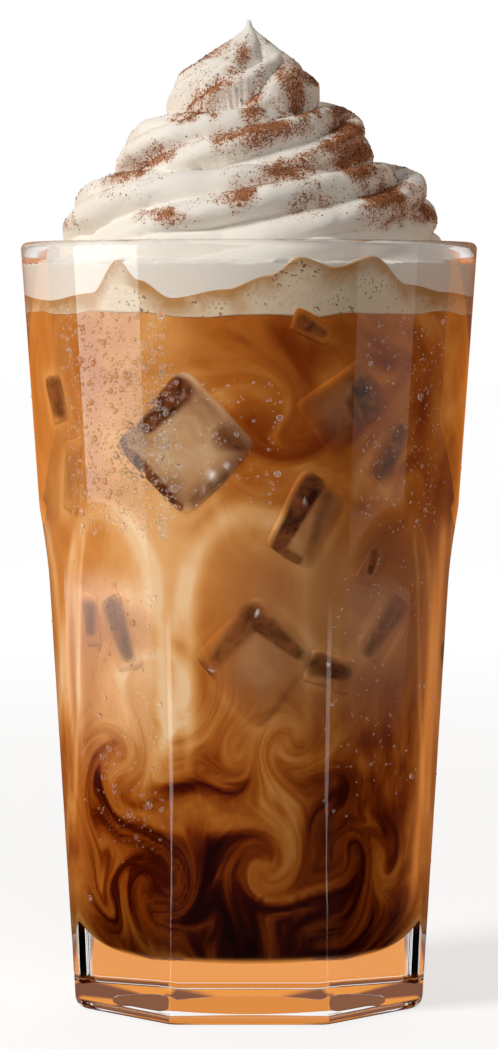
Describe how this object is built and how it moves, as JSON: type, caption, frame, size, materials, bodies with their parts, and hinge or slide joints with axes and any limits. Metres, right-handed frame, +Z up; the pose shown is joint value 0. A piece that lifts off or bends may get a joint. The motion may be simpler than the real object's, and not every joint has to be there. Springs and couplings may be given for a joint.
{
  "type": "iced latte in a glass",
  "caption": "Tall panelled tumbler filled with iced coffee and milk, topped with foam and a piped swirl of whipped cream.",
  "frame": {"origin": "middle of the foot, on the surface the glass stands on", "axes": "+Z up from the foot to the cream's tip; +X and +Y each face the middle of a side panel"},
  "size_m": [0.09, 0.09, 0.1937],
  "materials": {
    "glass": "clear, polished",
    "coffee": "milky iced coffee, glossy",
    "foam": "fine milk foam, soft",
    "cream": "whipped cream, soft"
  },
  "bodies": {
    "root": {"glass": "glass", "coffee": "coffee", "milk_foam": "foam", "whipped_cream": "cream"}
  },
  "joints": []
}
